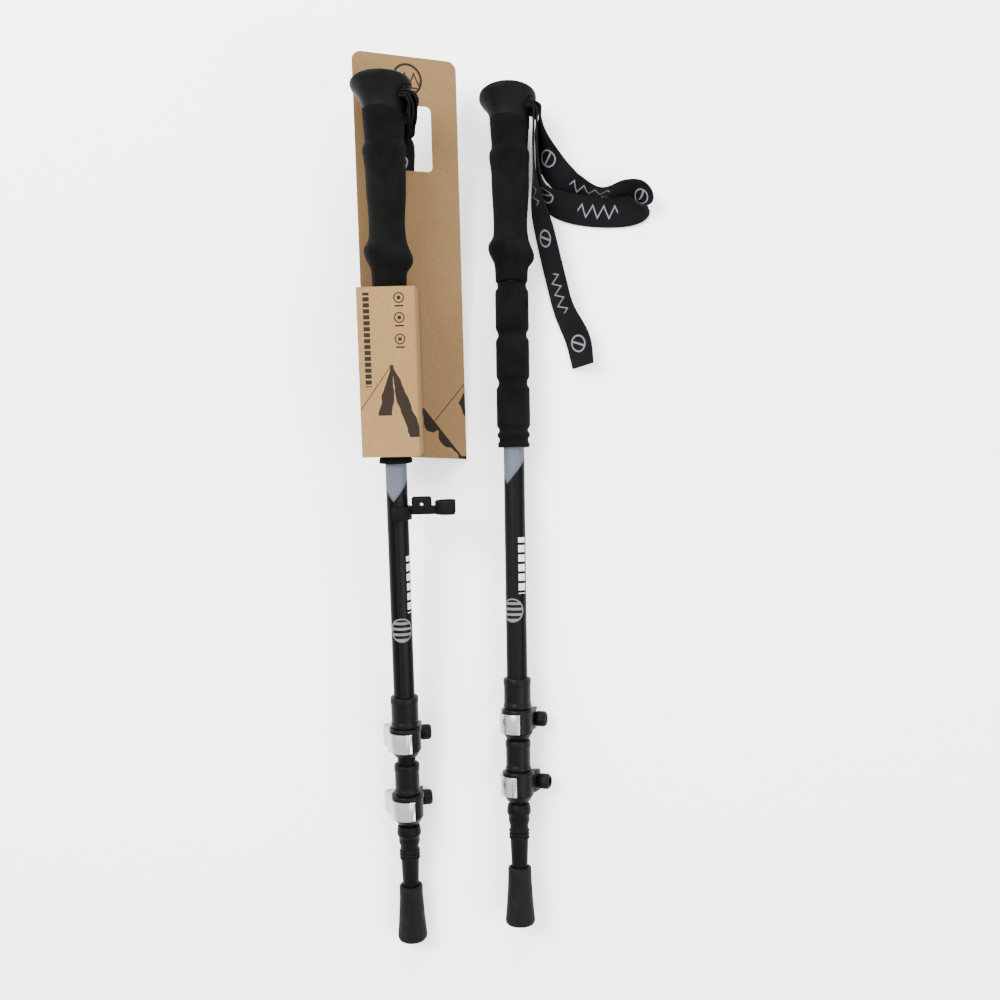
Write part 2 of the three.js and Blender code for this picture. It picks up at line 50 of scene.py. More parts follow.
SOLE = -366.5
LOCK_MIDDLE = -211.2
BOLT_BEHIND = 14.5
BOLT_HOLE = 2.3
PIVOT_ACROSS = -12
UPPER_RADIUS, MIDDLE_RADIUS, LOWER_RADIUS = 8, 7, 6
TUBE_WALL = 0.7
TUBE_GAP = 0.3
STRAP_WIDTH = 23.6
STRAP_THICKNESS = 1.5
FLOOR_GAP = 0.0002

HEAD_NECK, HEAD_TOP, HEAD_TILT = 253, 272, 0.2
SLOT_LOW, SLOT_HIGH, SLOT_HALF = 258, 267.5, 12.6
RING_TOP, RING_BOTTOM = -200.8, -219
LEVER_TOP, LEVER_BOTTOM = -203.8, -218.6
LEVER_OUTER, LEVER_INNER, CAM_RADIUS, PIVOT_HOLE = 14, 12.25, 4.5, 3.3

CLIP_LOW, CLIP_HIGH, CLIP_RISE = -42, -32, 3.5
CLIP_RING, CLIP_HALF_THICKNESS = 10.6, 2.2
JAW_X, JAW_OUTER, JAW_INNER = 37, 9.2, 7
TAB_LEFT, TAB_RIGHT, TAB_TOP, TAB_HOLE = 10.5, 25.5, -25, 1.2

CARD_LEAN, CARD_BEHIND, CARD_THICKNESS = 28.5, 24.5, 0.8
CARD_LEFT, CARD_RIGHT, CARD_TOP, CARD_CORNER = -12.6, 71, 298, 7
CARD_BOTTOM_LEFT, CARD_BOTTOM_RIGHT = 5, -3
WINDOW = (6, 49.3, 215.8, 263.3)
WINDOW_CORNER = 4
SLEEVE_LEFT, SLEEVE_RIGHT, SLEEVE_FRONT = -22.7, 19.3, 17
SLEEVE_BOTTOM, SLEEVE_TOP, SLEEVE_BEND = 6, 127.5, 1.4

LENS, SENSOR = 39.6, 36
CAMERA_FROM_GRIP = (-0.0107, -0.0404, 0.847)
STUDIO_STRENGTH = 2.1
LIGHTS = (
    ("key", (-0.9, 0.7, 1.6), 0.9, 98),
    ("fill", (1.1, -0.3, 1.5), 1.2, 44),
    ("rim", (0.1, 1.5, 0.9), 0.8, 31),
)
FLOOR_HALF = 3


# ---------------------------------------------------------------- frames

def frame_matrix(origin, x, y):
    z = x.cross(y)
    matrix = Matrix((x, y, z)).transposed().to_4x4()
    matrix.translation = origin
    return matrix


def pole_frame(side):
    y = -Vector(JOINTS[f"{side}_middle_slide"]["axis"])
    x = Vector(JOINTS[f"{side}_strap_wedge_pull"]["axis"])
    sole = Vector(MOUNTS[f"{side}_foot_sole"]["pos_m"])
    return frame_matrix(sole - (SOLE - EXTRA[side]) * MM * y, x, y)


def lock_frame(side, level):
    nut = JOINTS[f"{side}_{level}_nut_turn"]
    x = Vector(nut["axis"])
    y = -Vector(JOINTS[f"{side}_{level}_lever_flip"]["axis"])
    z = x.cross(y)
    return frame_matrix(Vector(nut["pos_m"]) - LOCK_MIDDLE * MM * y + BOLT_BEHIND * MM * z, x, y)


# How far each middle section stands out of its upper one at rest
EXTRA = {side: -JOINTS[f"{side}_middle_slide"]["range_m"][0] / MM for side in ("left", "right")}


# ---------------------------------------------------------------- camera, floor and light

def look():
    right = pole_frame("right").translation
    camera = bpy.data.objects.new("camera", bpy.data.cameras.new("camera"))
    camera.data.lens = LENS
    camera.data.sensor_width = SENSOR
    camera.location = right + Vector(CAMERA_FROM_GRIP)
    bpy.context.scene.collection.objects.link(camera)
    bpy.context.scene.camera = camera

    world = bpy.data.worlds.new("studio")
    world.use_nodes = True
    world.node_tree.nodes["Background"].inputs["Color"].default_value = (1, 1, 1, 1)
    world.node_tree.nodes["Background"].inputs["Strength"].default_value = STUDIO_STRENGTH
    bpy.context.scene.world = world

    for name, place, size, power in LIGHTS:
        light = bpy.data.objects.new(name, bpy.data.lights.new(name, "AREA"))
        light.data.size = size
        light.data.energy = power
        light.location = place
        light.rotation_euler = Vector(place).to_track_quat("Z", "Y").to_euler()
        bpy.context.scene.collection.objects.link(light)

    mesh = bpy.data.meshes.new("floor")
    corners = [(x * FLOOR_HALF, y * FLOOR_HALF, 0) for x, y in ((-1, -1), (1, -1), (1, 1), (-1, 1))]
    mesh.from_pydata(corners, [], [(0, 1, 2, 3)])
    floor = bpy.data.objects.new("floor", mesh)
    bpy.context.scene.collection.objects.link(floor)
    paper = Paint("floor_paper", (0.95, 0.95, 0.95), roughness=0.9)
    paper.bump(paper.noise(400, detail=3), 0.02, 0.0002)
    mesh.materials.append(paper.material)


# ---------------------------------------------------------------- materials

class Paint:
    """A node material with a small set of helpers for its sockets."""

    def __init__(self, name, color, roughness=0.5, metallic=0.0, specular=0.5):
        self.material = bpy.data.materials.new(name)
        self.material.use_nodes = True
        self.tree = self.material.node_tree
        self.shader = self.tree.nodes["Principled BSDF"]
        self.shader.inputs["Base Color"].default_value = (*color, 1)
        self.shader.inputs["Roughness"].default_value = roughness
        self.shader.inputs["Metallic"].default_value = metallic
        self.shader.inputs["Specular IOR Level"].default_value = specular
        self.place = self.tree.nodes.new("ShaderNodeTexCoord").outputs["Object"]

    def wire(self, value, socket):
        if isinstance(value, bpy.types.NodeSocket):
            self.tree.links.new(value, socket)
        else:
            socket.default_value = value

    def math(self, operation, *values):
        node = self.tree.nodes.new("ShaderNodeMath")
        node.operation = operation
        for value, socket in zip(values, node.inputs):
            self.wire(value, socket)
        return node.outputs[0]

    def split(self, vector):
        node = self.tree.nodes.new("ShaderNodeSeparateXYZ")
        self.tree.links.new(vector, node.inputs[0])
        return node.outputs

    def stretched(self, x, y, z):
        node = self.tree.nodes.new("ShaderNodeVectorMath")
        node.operation = "MULTIPLY"
        self.tree.links.new(self.place, node.inputs[0])
        node.inputs[1].default_value = (x, y, z)
        return node.outputs[0]

    def noise(self, scale, detail=4.0, vector=None):
        node = self.tree.nodes.new("ShaderNodeTexNoise")
        node.inputs["Scale"].default_value = scale
        node.inputs["Detail"].default_value = detail
        self.tree.links.new(vector or self.place, node.inputs["Vector"])
        return node.outputs["Fac"]

    def cells(self, scale, vector=None):
        node = self.tree.nodes.new("ShaderNodeTexVoronoi")
        node.inputs["Scale"].default_value = scale
        self.tree.links.new(vector or self.place, node.inputs["Vector"])
        return node.outputs["Distance"]

    def ramp(self, value, low, high, out_low=0.0, out_high=1.0):
        node = self.tree.nodes.new("ShaderNodeMapRange")
        for item, name in ((value, "Value"), (low, "From Min"), (high, "From Max"),
                           (out_low, "To Min"), (out_high, "To Max")):
            self.wire(item, node.inputs[name])
        return node.outputs[0]

    def mix(self, share, low, high):
        node = self.tree.nodes.new("ShaderNodeMix")
        node.data_type = "RGBA"
        self.wire(share, node.inputs["Factor"])
        self.wire(low if isinstance(low, bpy.types.NodeSocket) else (*low, 1), node.inputs["A"])
        self.wire(high if isinstance(high, bpy.types.NodeSocket) else (*high, 1), node.inputs["B"])
        return node.outputs["Result"]

    def color(self, socket):
        self.tree.links.new(socket, self.shader.inputs["Base Color"])

    def roughness(self, socket):
        self.tree.links.new(socket, self.shader.inputs["Roughness"])

    def metallic(self, socket):
        self.tree.links.new(socket, self.shader.inputs["Metallic"])

    def bump(self, height, strength, distance):
        node = self.tree.nodes.new("ShaderNodeBump")
        node.inputs["Strength"].default_value = strength
        node.inputs["Distance"].default_value = distance
        self.tree.links.new(height, node.inputs["Height"])
        self.tree.links.new(node.outputs[0], self.shader.inputs["Normal"])

    # Masks: 1 inside, 0 outside
    def above(self, value, limit):
        return self.math("GREATER_THAN", value, limit)

    def below(self, value, limit):
        return self.math("LESS_THAN", value, limit)

    def both(self, *masks):
        whole = masks[0]
        for mask in masks[1:]:
            whole = self.math("MULTIPLY", whole, mask)
        return whole

    def either(self, *masks):
        whole = masks[0]
        for mask in masks[1:]:
            whole = self.math("MAXIMUM", whole, mask)
        return whole

    def near(self, value, centre, half):
        return self.below(self.math("ABSOLUTE", self.math("SUBTRACT", value, centre)), half)

    def ring(self, across, along, radius, stroke):
        squares = self.math("ADD", self.math("MULTIPLY", across, across), self.math("MULTIPLY", along, along))
        return self.near(self.math("SQRT", squares), radius, stroke / 2)


def foam_paint():
    paint = Paint("grip_foam", (0.002, 0.002, 0.002), roughness=0.92, specular=0.035)
    grain = paint.noise(900, detail=6)
    pores = paint.cells(1500)
    patches = paint.noise(60, detail=3)
    paint.color(paint.mix(paint.ramp(patches, 0.35, 0.65), (0.001, 0.001, 0.001), (0.0024, 0.0024, 0.0022)))
    paint.roughness(paint.ramp(grain, 0.3, 0.7, 0.82, 1.0))
    paint.shader.inputs["Sheen Weight"].default_value = 0.006
    paint.shader.inputs["Sheen Roughness"].default_value = 0.6
    paint.bump(paint.math("ADD", grain, pores), 0.5, 0.0003)
    return paint.material


def moulded_paint(name, color, roughness, specular=0.2, grain_scale=700):
    paint = Paint(name, color, roughness=roughness, specular=specular)
    grain = paint.noise(grain_scale, detail=5)
    wear = paint.noise(45, detail=4)
    lighter = tuple(channel * 1.6 for channel in color)
    paint.color(paint.mix(paint.ramp(wear, 0.4, 0.75), color, lighter))
    paint.roughness(paint.ramp(wear, 0.3, 0.7, roughness - 0.06, roughness + 0.1))
    paint.bump(grain, 0.3, 0.00012)
    return paint.material


def rubber_paint():
    paint = Paint("foot_rubber", (0.003, 0.003, 0.003), roughness=0.6, specular=0.06)
    dust = paint.noise(120, detail=6)
    paint.color(paint.mix(paint.ramp(dust, 0.45, 0.75), (0.0024, 0.0024, 0.0025), (0.0055, 0.0055, 0.0055)))
    paint.roughness(paint.ramp(dust, 0.3, 0.7, 0.5, 0.75))
    paint.bump(paint.noise(1100, detail=4), 0.35, 0.00015)
    return paint.material


def metal_paint(name, color, roughness, brush=(60, 4000, 60)):
    paint = Paint(name, color, roughness=roughness, metallic=1.0)
    streaks = paint.noise(1.0, detail=3, vector=paint.stretched(*brush))
    darker = tuple(channel * 0.86 for channel in color)
    paint.color(paint.mix(paint.ramp(streaks, 0.3, 0.7), darker, color))
    paint.roughness(paint.ramp(streaks, 0.3, 0.7, roughness - 0.05, roughness + 0.08))
    paint.bump(streaks, 0.08, 0.00005)
    return paint.material


def tube_paint():
    paint = Paint("black_tube", (0.0015, 0.0015, 0.0016), roughness=0.4, specular=0.04)
    flecks = paint.cells(2600)
    paint.color(paint.mix(paint.ramp(flecks, 0.0, 0.5), (0.0024, 0.0024, 0.0026), (0.001, 0.001, 0.0011)))
    paint.roughness(paint.ramp(paint.noise(90), 0.3, 0.7, 0.34, 0.46))
    paint.bump(paint.noise(1200, detail=2), 0.06, 0.00004)
    return paint.material


# roll is where the tube's front line sits: the angle in degrees from the pole's z toward its x
def printed_tube_paint(name, roll):
    paint = Paint(name, (0.004, 0.004, 0.004), roughness=0.4, specular=0.035)
    x, y, z = paint.split(paint.place)
    angle = paint.math("SUBTRACT", paint.math("ARCTAN2", x, z), math.radians(roll))
    arc = paint.math("MULTIPLY", angle, UPPER_RADIUS * MM)

    # A pale wedge under the foam, a chequered stripe, a row of plain blocks and a plain round mark
    wedge_arc = paint.math("ABSOLUTE", paint.math("ADD", arc, 0.0059))
    wedge = paint.above(y, paint.ramp(wedge_arc, 0.0, 0.02, -0.028, -0.004))
    wedge_edge = paint.both(wedge, paint.below(y, paint.ramp(wedge_arc, 0.0, 0.02, -0.0255, -0.0015)))
    stripe = paint.both(paint.near(arc, -0.0022, 0.0036), paint.math("SUBTRACT", 1.0, wedge))
    pitch = 2100
    slope = paint.math("MULTIPLY", paint.math("ADD", arc, y), pitch)
    counter = paint.math("MULTIPLY", paint.math("SUBTRACT", arc, y), pitch)
    checks = paint.above(paint.math("MULTIPLY", paint.math("SINE", slope), paint.math("SINE", counter)), 0.0)
    block_pitch = 0.0073
    blocks = paint.both(
        paint.near(arc, 0.0054, 0.0032),
        paint.near(y, -0.0905, 0.0215),
        paint.below(paint.math("MODULO", paint.math("ADD", y, 1.0), block_pitch), 0.0053),
    )
    mark_arc = paint.math("ADD", arc, 0.0032)
    mark_y = paint.math("ADD", y, 0.1247)
    disc = paint.below(
        paint.math("SQRT", paint.math("ADD", paint.math("MULTIPLY", mark_arc, mark_arc),
                                      paint.math("MULTIPLY", mark_y, mark_y))), 0.0082)
    bars = paint.both(disc, paint.above(paint.math("SINE", paint.math("MULTIPLY", mark_y, 1500)), 0.1))
    mark = paint.either(paint.ring(mark_arc, mark_y, 0.0086, 0.001), bars)

    weave = paint.mix(paint.both(stripe, checks), (0.0008, 0.0008, 0.0009), (0.0052, 0.0054, 0.0058))
    pale = paint.mix(wedge, weave, (0.06, 0.067, 0.083))
    edged = paint.mix(wedge_edge, pale, (0.045, 0.051, 0.064))
    lettered = paint.mix(blocks, edged, (0.42, 0.42, 0.42))
    paint.color(paint.mix(mark, lettered, (0.085, 0.088, 0.095)))
    paint.roughness(paint.ramp(paint.noise(90), 0.3, 0.7, 0.34, 0.46))
    paint.shader.inputs["Coat Weight"].default_value = 0.012
    paint.shader.inputs["Coat Roughness"].default_value = 0.15
    paint.bump(paint.math("ADD", paint.noise(1200, detail=2), blocks), 0.05, 0.00004)
    return paint.material


def webbing_paint():
    paint = Paint("webbing", (0.003, 0.0026, 0.0033), roughness=0.8, specular=0.05)
    strip = paint.tree.nodes.new("ShaderNodeUVMap")
    strip.uv_map = "strip"
    across, along, _ = paint.split(strip.outputs[0])
    threads = paint.math("SINE", paint.math("MULTIPLY", across, 9000))
    picks = paint.math("SINE", paint.math("MULTIPLY", along, 7000))
    weave = paint.math("MULTIPLY", threads, picks)

    # Plain rings and zigzags, printed in turn along the band
    period = 0.086
    step = paint.math("SUBTRACT", paint.math("MODULO", along, period), 0.018)
    ring = paint.ring(across, step, 0.0062, 0.0013)
    slash = paint.both(
        paint.near(paint.math("ADD", step, paint.math("MULTIPLY", across, 0.6)), 0.0, 0.0009),
        paint.near(across, 0.0, 0.005),
    )
    peak_at = paint.math("SUBTRACT", step, 0.042)
    saw = paint.math("MULTIPLY", paint.math("PINGPONG", peak_at, 0.0045), 2.1)
    zigzag = paint.both(
        paint.near(paint.math("SUBTRACT", across, saw), -0.0045, 0.0011),
        paint.near(peak_at, 0.0, 0.016),
    )
    printed = paint.either(ring, slash, zigzag)
    ground = paint.mix(paint.ramp(weave, -1.0, 1.0), (0.0015, 0.0012, 0.0017), (0.0042, 0.0036, 0.0047))
    paint.color(paint.mix(printed, ground, (0.115, 0.112, 0.125)))
    paint.shader.inputs["Sheen Weight"].default_value = 0.012
    paint.shader.inputs["Sheen Roughness"].default_value = 0.4
    paint.roughness(paint.ramp(weave, -1.0, 1.0, 0.66, 0.9))
    paint.bump(weave, 0.35, 0.00015)
    return paint.material


def kraft_paint():
    paint = Paint("kraft_card", (0.18, 0.1, 0.042), roughness=0.9, specular=0.06)
    x, y, z = paint.split(paint.place)
    fibres = paint.noise(1.0, detail=6, vector=paint.stretched(1500, 350, 1500))
    specks = paint.cells(520)
    clouds = paint.noise(25, detail=4)
    board = paint.mix(paint.ramp(fibres, 0.3, 0.7), (0.142, 0.082, 0.0335), (0.18, 0.11, 0.047))
    clouded = paint.mix(paint.ramp(clouds, 0.35, 0.7, 0.0, 0.35), board, (0.144, 0.083, 0.034))
    speckled = paint.mix(paint.below(specks, 0.07), clouded, (0.1, 0.057, 0.024))

    # Plain print on the sleeve: a column of blocks, and three small rings with lines under them
    front = paint.above(z, 0.0155)
    behind = paint.either(paint.below(z, -0.02), paint.above(y, 0.1276))
    # Painted shade: the back panel and the card above the sleeve are mixed 22% toward a dark grey, so they
    # read as lying in shadow behind the lit sleeve.
    painted_shade_board = paint.mix(paint.math("MULTIPLY", behind, 0.22), speckled, (0.012, 0.014, 0.016))
    marks = [paint.both(front, paint.near(x, -0.0158, 0.0023), paint.near(y, 0.09, 0.0335),
                        paint.below(paint.math("MODULO", paint.math("ADD", y, 1.0), 0.0042), 0.0031))]
    for height in (0.1195, 0.1055, 0.0903):
        level = paint.math("SUBTRACT", y, height)
        sideways = paint.math("SUBTRACT", x, 0.0077)
        marks.append(paint.both(front, paint.ring(sideways, level, 0.0034, 0.0009)))
        marks.append(paint.both(front, paint.near(sideways, 0.0, 0.0013), paint.near(level, 0.0, 0.0013)))
        marks.append(paint.both(front, paint.near(sideways, 0.0, 0.0032), paint.near(level, -0.0058, 0.0006)))

    # A plain ridge: a thin line up to its peak, two rough brushed flanks, and its foot on the panel behind
    rough = paint.ramp(paint.noise(95, detail=1), 0.3, 0.7, -0.0009, 0.0009)
    climb = paint.ramp(x, -0.0241, 0.0009, 0.0376, 0.072)
    line = paint.both(front, paint.near(paint.math("SUBTRACT", y, climb), 0.0, 0.0005),
                      paint.below(x, 0.0012))
    left_leg = paint.ramp(y, 0.034, 0.072, -0.0052, 0.0016)
    right_leg = paint.ramp(y, 0.022, 0.072, 0.0162, 0.0008)
    thick = paint.math("ADD", paint.ramp(y, 0.05, 0.075, 0.0044, 0.0006), rough)
    left_flank = paint.both(front, paint.near(paint.math("SUBTRACT", x, left_leg), 0.0, thick),
                            paint.near(y, 0.054, 0.018))
    right_flank = paint.both(front, paint.near(paint.math("SUBTRACT", x, right_leg), 0.0, thick),
                             paint.near(y, 0.046, 0.026))
    fall = paint.ramp(x, 0.0184, 0.0471, 0.0395, -0.001)
    edge_line = paint.both(behind, paint.near(paint.math("SUBTRACT", y, fall), 0.0, 0.0007),
                           paint.above(x, 0.018))
    under = paint.math("SUBTRACT", fall, paint.ramp(paint.noise(60, detail=1), 0.35, 0.65, 0.002, 0.015))
    foot = paint.both(behind, paint.below(y, fall), paint.above(y, under), paint.above(x, 0.018))
    rise = paint.ramp(x, 0.0266, 0.0499, 0.0276, 0.0553)
    far_line = paint.both(behind, paint.near(paint.math("SUBTRACT", y, rise), 0.0, 0.0005),
                          paint.above(x, 0.0266))
    corner = paint.both(behind, paint.below(
        paint.math("ADD", paint.math("ABSOLUTE", paint.math("SUBTRACT", x, 0.0515)),
                   paint.math("MULTIPLY", paint.math("ABSOLUTE", paint.math("SUBTRACT", y, 0.041)), 0.5)),
        paint.math("ADD", 0.006, rough)))

    # A plain round badge at the top of the panel, part of it behind the knob
    badge_x = paint.math("DIVIDE", paint.math("SUBTRACT", x, 0.015), 0.92)
    badge_y = paint.math("SUBTRACT", y, 0.2815)
    disc = paint.below(paint.math("ADD", paint.math("MULTIPLY", badge_x, badge_x),
                                  paint.math("MULTIPLY", badge_y, badge_y)), 0.0098 ** 2)
    badge = paint.both(behind, paint.ring(badge_x, badge_y, 0.0108, 0.0017))
    peaks = paint.math("SUBTRACT", paint.math("PINGPONG", paint.math("ADD", badge_x, 0.02), 0.0036), 0.002)
    badge_ridge = paint.both(behind, disc, paint.near(
        paint.math("SUBTRACT", badge_y, paint.math("MULTIPLY", peaks, 2.2)), 0.001, 0.0013))
    badge_ground = paint.both(behind, disc, paint.below(badge_y, -0.0045),
                              paint.above(paint.math("SINE", paint.math("MULTIPLY", badge_y, 3000)), -0.2))
    printed = paint.either(*marks, line, left_flank, right_flank, edge_line, foot, far_line, corner, badge,
                           badge_ridge, badge_ground)
    inked = paint.mix(paint.math("MULTIPLY", printed, 0.95), painted_shade_board, (0.006, 0.0052, 0.005))
    paint.color(inked)
    paint.roughness(paint.ramp(fibres, 0.3, 0.7, 0.8, 0.95))
    paint.bump(paint.math("ADD", fibres, paint.noise(2500, detail=3)), 0.18, 0.00012)
    return paint.material


# ---------------------------------------------------------------- mesh helpers

def mesh_piece(name, points, faces, matrix, material, sharp=35):
    mesh = bpy.data.meshes.new(name)
    mesh.from_pydata([tuple(axis * MM for axis in point) for point in points], [], faces)
    mesh.validate()
    mesh.materials.append(material)
    mesh.shade_smooth()
    mesh.set_sharp_from_angle(angle=math.radians(sharp))
    piece = bpy.data.objects.new(name, mesh)
    piece.matrix_world = matrix
    bpy.context.scene.collection.objects.link(piece)
    return piece


def spline(points, steps):
    """Catmull-Rom points through an outline, with its ends kept."""
    padded = [points[0], *points, points[-1]]
    curve = []
    for a, b, c, d in zip(padded, padded[1:], padded[2:], padded[3:]):
        for step in range(steps):
            t = step / steps
            curve.append(tuple(
                0.5 * (2 * q + (r - p) * t + (2 * p - 5 * q + 4 * r - s) * t * t
                       + (3 * q - p - 3 * r + s) * t ** 3)
                for p, q, r, s in zip(a, b, c, d)))
    curve.append(tuple(points[-1]))
    return curve


def revolved(profile, segments=72, warp=None):
    """Points and faces of a profile [radius, y] turned about y. It starts and ends on the axis or closes."""
    points, faces, rings = [], [], []
    closed = profile[0] == profile[-1]
    for radius, y in profile[:-1] if closed else profile:
        if radius < 1e-6:
            rings.append([len(points)] * segments)
            points.append((0.0, y, 0.0))
            continue
        rings.append(list(range(len(points), len(points) + segments)))
        for step in range(segments):
            angle = 2 * math.pi * step / segments
            place = (radius * math.sin(angle), y, radius * math.cos(angle))
            points.append(warp(*place) if warp else place)
    pairs = list(zip(rings, rings[1:])) + ([(rings[-1], rings[0])] if closed else [])
    for low, high in pairs:
        for i in range(segments):
            j = (i + 1) % segments
            face = list(dict.fromkeys((low[i], low[j], high[j], high[i])))
            if len(face) > 2:
                faces.append(face)
    return points, faces


def turned(name, profile, matrix, material, segments=72, warp=None, sharp=35):
    points, faces = revolved(profile, segments, warp)
    return mesh_piece(name, points, faces, matrix, material, sharp)


def prism(name, outline, low, high, matrix, material):
    """An outline in x and z, listed counter-clockwise with z up, carried along y."""
    count = len(outline)
    points = [(x, y, z) for y in (low, high) for x, z in outline]
    faces = [list(range(count)), list(range(2 * count - 1, count - 1, -1))]
    for i in range(count):
        j = (i + 1) % count
        faces.append([j, i, count + i, count + j])
    return mesh_piece(name, points, faces, matrix, material)


def arc(x, z, radius, start, end, steps):
    """Points round (x, z) from one angle to another, in degrees from x toward z."""
    angles = [math.radians(start + (end - start) * step / steps) for step in range(steps + 1)]
    return [(x + radius * math.cos(angle), z + radius * math.sin(angle)) for angle in angles]


def block_outline(x0, x1, z0, z1):
    return [(x0, z0), (x1, z0), (x1, z1), (x0, z1)]


def settle(piece):
    """Applies the modifiers to the mesh."""
    graph = bpy.context.evaluated_depsgraph_get()
    mesh = bpy.data.meshes.new_from_object(piece.evaluated_get(graph))
    piece.modifiers.clear()
    piece.data = mesh


def combine(piece, tool, operation):
    modifier = piece.modifiers.new("cut", "BOOLEAN")
    modifier.operation = operation
    modifier.solver = "EXACT"
    modifier.object = tool
    settle(piece)
    bpy.data.objects.remove(tool)


def cross_cylinder(name, radius, start, end, y, z, matrix, material, segments=40):
    """A cylinder along x, as a cutter or a pin."""
    points, faces = revolved([[0, start], [radius, start], [radius, end], [0, end]], segments)
    turned_points = [(along, y - x, z + depth) for x, along, depth in points]
    return mesh_piece(name, turned_points, faces, matrix, material)


def rounded_edges(piece, width, segments=3, angle=30):
    bevel = piece.modifiers.new("rounded_edges", "BEVEL")
    bevel.width = width * MM
    bevel.segments = segments
    bevel.limit_method = "ANGLE"
    bevel.angle_limit = math.radians(angle)
    bevel.harden_normals = False
    settle(piece)
    piece.data.shade_smooth()
    piece.data.set_sharp_from_angle(angle=math.radians(38))


def place(piece, body, slot, *nodes):
    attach(piece, body)
    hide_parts(*nodes)


# ---------------------------------------------------------------- grips

def eased(share):
    share = min(max(share, 0), 1)
    return share * share * (3 - 2 * share)


def grip_head(side, s, matrix, paint):
    """The knob: a flared neck, a rolled rim and a low slanted crown, with a tongue down the strap side."""
    def lean(x, y, z):
        offset = -1.3 * eased((y - HEAD_NECK + 3) / 24)
        radius = math.hypot(x, z)
        tongue = 0.0
        if radius > 15 and x > 0:
            tongue = -7.5 * (x / radius) ** 2 * min(max((257.6 - y) / 4.6, 0), 1)
        slant = HEAD_TILT * eased((y - HEAD_NECK) / (SLOT_HIGH - HEAD_NECK))
        return x + offset, y + tongue + z * slant, z

    outside = spline([(15.35, 253), (15.5, 255), (16.2, 257.6), (17.6, 260.4), (19.6, 263.6), (21.4, 266.6),
                      (22.05, 268.4), (22.05, 269.5), (21.6, 270.6), (20.0, 271.4), (16, 271.85),
                      (8, HEAD_TOP), (2, HEAD_TOP), (0, HEAD_TOP)], 4)
    profile = [(0, 251.8), (8.3, 251.8), (8.3, 240), (11.5, 240), (11.5, 252.6), (15.1, 252.6)] + outside
    piece = turned(f"grip_head_shell_{s}", profile, matrix, paint, 96, lean)
    slot = prism("slot_cutter", block_outline(2, 30, -SLOT_HALF, SLOT_HALF), SLOT_LOW, SLOT_HIGH,
                 matrix, paint)
    rounded_edges(slot, 1.2, 3)
    combine(piece, slot, "DIFFERENCE")
    piece.data.shade_smooth()
    piece.data.set_sharp_from_angle(angle=math.radians(40))
    place(piece, f"{side}_upper", "black_plastic", f"grip_head_{s}")


def grip_foam(side, s, matrix, paint):
    """The hand grip, with its palm swell, waist and the tilted flange ring at its lower end."""
    def swell(x, y, z):
        radius = math.hypot(x, z)
        if radius < 11:
            return x, y, z
        left = -x / radius
        flange = math.exp(-(((y - 150) / 11) ** 2))
        bulge = left * (0.55 * math.exp(-(((y - 222) / 8) ** 2)) + 0.35 * math.exp(-(((y - 172) / 12) ** 2)))
        grow = (radius + bulge) / radius
        return x * grow, y + 3.4 * left * flange, z * grow

    outside = spline([(11.7, 127.2), (12.3, 128), (12.45, 131), (12.7, 136), (13.3, 140), (15.2, 143.3),
                      (17.1, 146.8), (17.75, 150), (17.2, 153.4), (15.4, 157), (13.9, 161), (13.2, 166),
                      (13.05, 174), (13.5, 184), (14.2, 194), (14.45, 204), (14.6, 212), (15.1, 218.5),
                      (15.55, 223.5), (15.3, 226.8), (14.35, 229.2), (14.1, 231), (14.2, 234), (14.6, 240),
                      (15.05, 247), (15.2, 251.6), (14.8, 252.5)], 4)
    profile = [(8.3, 127)] + outside + [(11.8, 252.5), (11.8, 239.7), (8.3, 239.7), (8.3, 127)]
    piece = turned(f"grip_foam_sleeve_{s}", profile, matrix, paint, 96, swell, 50)
    place(piece, f"{side}_upper", "grip_foam", f"grip_foam_{s}")


def lower_grip_foam(side, s, matrix, paint):
    """The extension grip: three soft segments between grooves, and small rings at its lower end."""
    outside = [(11.9, 0.3), (12.2, 1.0), (12.2, 3.0), (11.4, 4.4), (11.15, 5.8), (11.4, 7.2), (12.3, 8.4),
               (12.55, 9.7), (12.3, 11.0), (11.4, 12.0), (11.15, 13.2), (11.4, 14.4)]
    for low, high in ((15, 46.9), (52.6, 83.9), (89.5, 121.6)):
        outside += [(12.3, low + 0.8), (12.8, low + 2.4), (12.85, low + 6), (12.85, high - 6),
                    (12.8, high - 2.4), (12.3, high - 0.8), (11.3, high + 0.9),
                    (11.0, high + 2.8), (11.3, high + 4.6)]
    outside = [point for point in outside if point[1] < 126.6]
    profile = [(8.3, 0)] + spline(outside, 3) + [(8.3, 126.7), (8.3, 0)]
    piece = turned(f"lower_grip_foam_sleeve_{s}", profile, matrix, paint, 96, None, 60)
    place(piece, f"{side}_upper", "grip_foam", f"lower_grip_foam_{s}")


def strap_wedge(side, s, matrix, paint):
    piece = prism(f"strap_wedge_block_{s}", block_outline(9, 17, -11, 11), 264.1, 267.2, matrix, paint)
    rounded_edges(piece, 0.5)
    place(piece, f"{side}_strap_wedge", "black_plastic", f"strap_wedge_{s}")


# ---------------------------------------------------------------- straps

